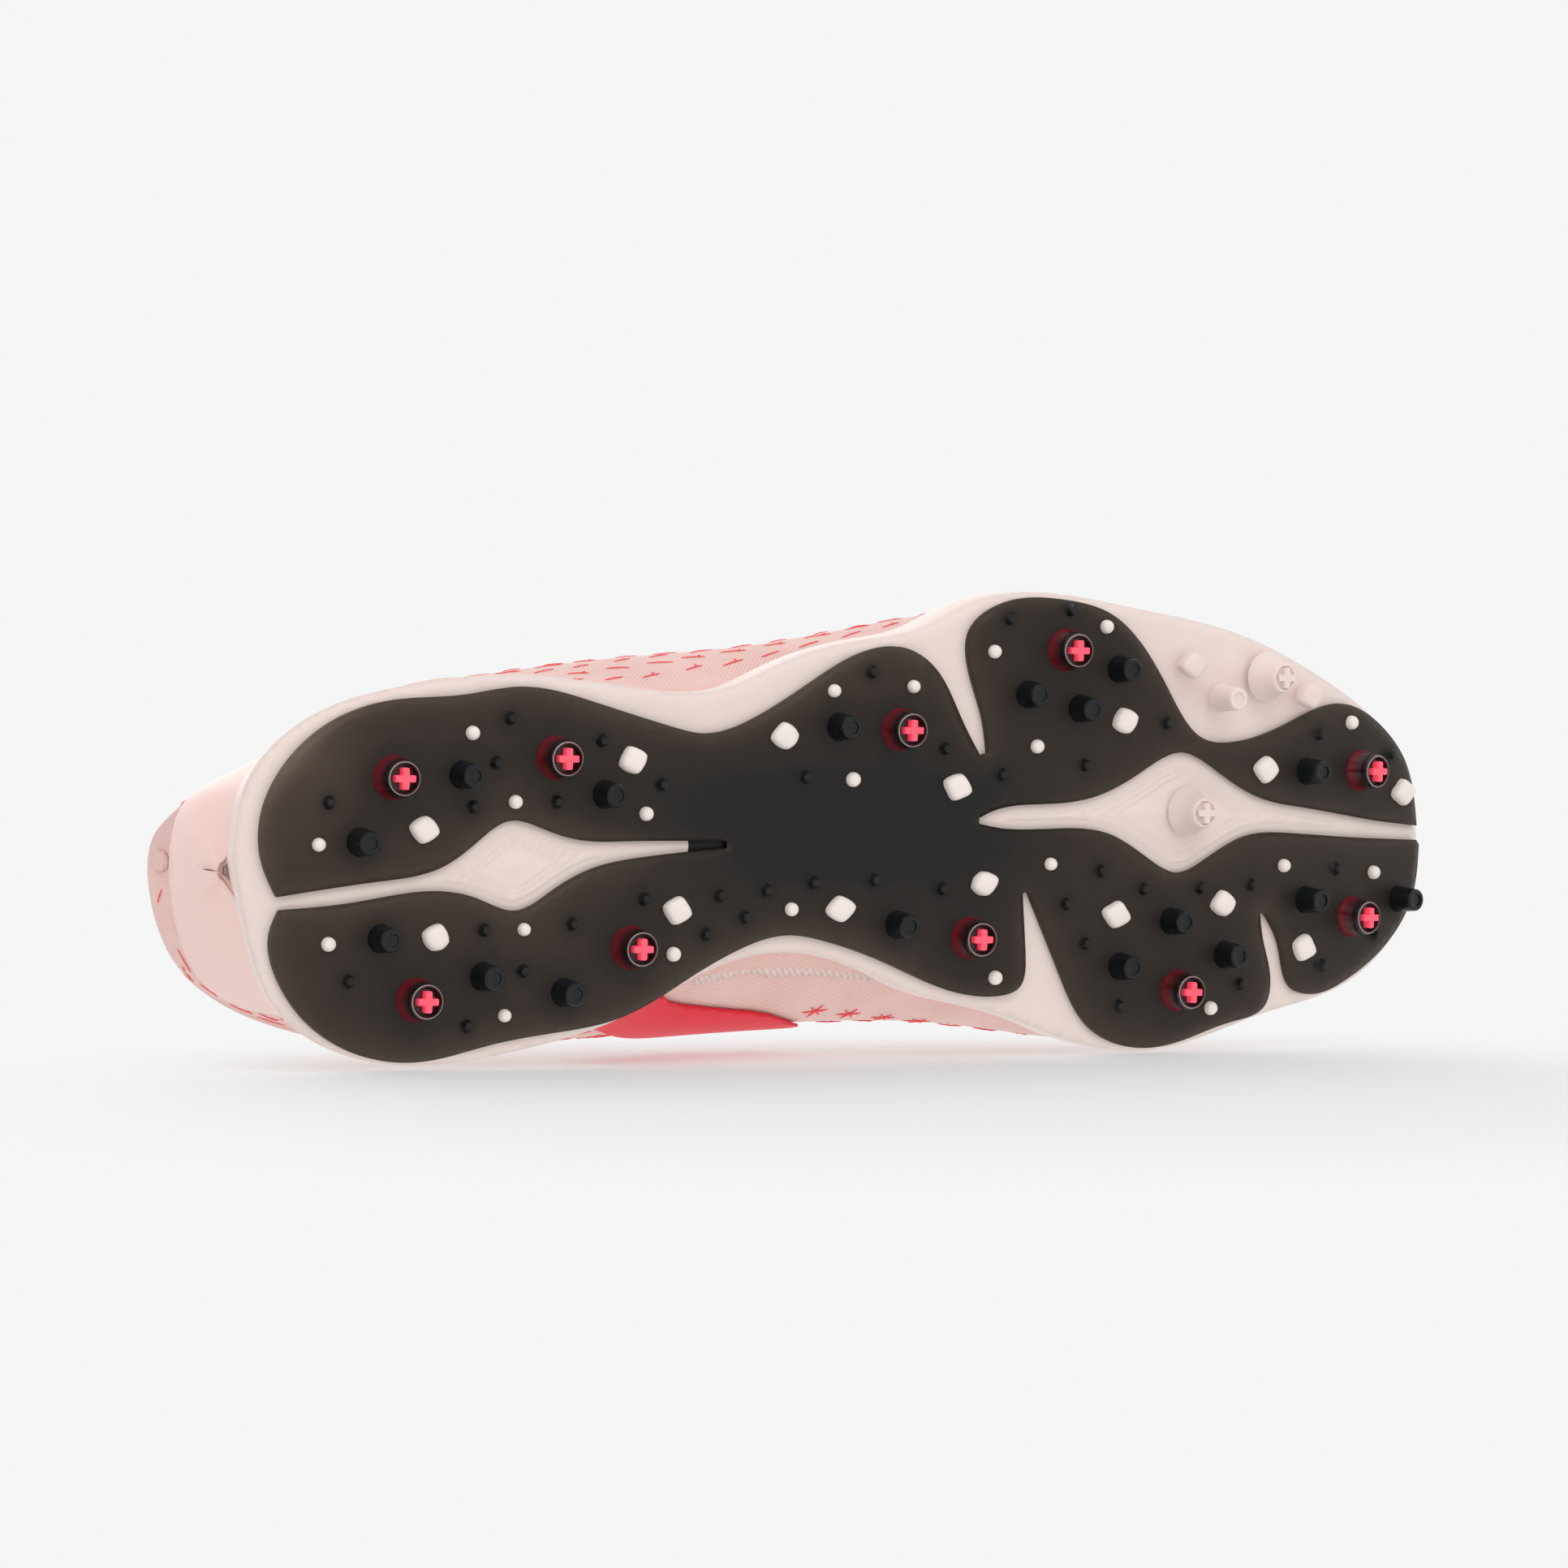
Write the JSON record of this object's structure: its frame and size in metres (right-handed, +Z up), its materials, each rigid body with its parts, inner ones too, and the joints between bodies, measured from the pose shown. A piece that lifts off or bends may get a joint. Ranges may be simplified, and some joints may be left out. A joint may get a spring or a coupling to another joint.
{
  "type": "soccer cleat",
  "caption": "Low-cut right soccer cleat with a smoked stud plate on a pale base, cross-tipped studs, knit upper, tongue and laces; the forefoot flexes and the tongue folds.",
  "frame": {"origin": "on the ground under the middle of the shoe", "axes": "+X to the toe, +Y to the medial side of a right foot, +Z up; the studs stand on z = 0"},
  "size_m": [0.2918, 0.098, 0.0997],
  "materials": {
    "smoked_plastic": "smoky translucent plastic, semi-gloss",
    "smoked_stud": "smoky translucent plastic, gloss",
    "coral_plastic": "coral red plastic, semi-gloss",
    "dark_stud": "blue-black plastic, satin",
    "pale_moulding": "pale pink-white moulded plastic, matte",
    "shank_plastic": "black plastic, matte",
    "board": "pressed fibre board",
    "insole_fabric": "brushed textile over foam",
    "lining_fabric": "soft knitted lining",
    "counter_plastic": "moulded stiffener",
    "foam": "open foam",
    "pink_knit": "pale pink knit with red flecks",
    "heel_film": "smooth pale pink film, satin",
    "red_satin": "crimson satin film",
    "binding": "pale pink bound edge",
    "eyestay_film": "red film, satin",
    "navy_lace": "dark navy woven lace",
    "aglet_plastic": "clear-coated lace tip"
  },
  "bodies": {
    "rear": {"aglets": "aglet_plastic", "collar_binding": "binding", "collar_padding": "foam", "cross_stud_cores_rear": "coral_plastic", "cross_stud_shells_rear": "smoked_stud", "eyestay_lateral": "eyestay_film", "eyestay_medial": "eyestay_film", "heel_counter": "counter_plastic", "heel_panel": "heel_film", "heel_seam_tape": "red_satin", "insole_flex_zone": "insole_fabric", "insole_rear": "insole_fabric", "knit_flex_zone": "pink_knit", "lace": "navy_lace", "lasting_board_rear": "board", "lining_flex_zone": "lining_fabric", "lining_rear": "lining_fabric", "nubs_rear": "dark_stud", "pale_base_rear": "pale_moulding", "pebbles_rear": "pale_moulding", "pips_rear": "pale_moulding", "quarter_backing": "foam", "quarter_lateral": "pink_knit", "quarter_medial": "pink_knit", "round_studs_rear": "dark_stud", "shank": "shank_plastic", "side_panel_medial": "red_satin", "smoked_plate_rear": "smoked_plastic", "tongue_base": "pink_knit"},
    "forefoot": {"cross_stud_cores_front": "coral_plastic", "cross_stud_shells_front": "smoked_stud", "insole_front": "insole_fabric", "lasting_board_front": "board", "lining_front": "lining_fabric", "nubs_front": "dark_stud", "pale_base_front": "pale_moulding", "pale_studs_front": "pale_moulding", "pebbles_front": "pale_moulding", "pips_front": "pale_moulding", "round_studs_front": "dark_stud", "smoked_plate_front": "smoked_plastic", "toe_puff": "counter_plastic", "vamp_backing": "foam", "vamp_knit": "pink_knit"},
    "tongue_top": {"tongue_top": "pink_knit"}
  },
  "joints": [
    {"name": "forefoot_flex", "type": "hinge", "parent": "rear", "child": "forefoot", "pos_m": [0.031, 0.0005, 0.0065], "axis": [-0.3584, -0.9336, 0], "range_deg": [0, 25], "stiffness_Nm_per_rad": 4, "deforming": ["knit_flex_zone", "lining_flex_zone", "insole_flex_zone"]},
    {"name": "tongue_fold", "type": "hinge", "parent": "rear", "child": "tongue_top", "pos_m": [-0.0515, 0.0033, 0.0864], "axis": [0, 1, 0], "range_deg": [0, 50], "stiffness_Nm_per_rad": 0.05}
  ]
}
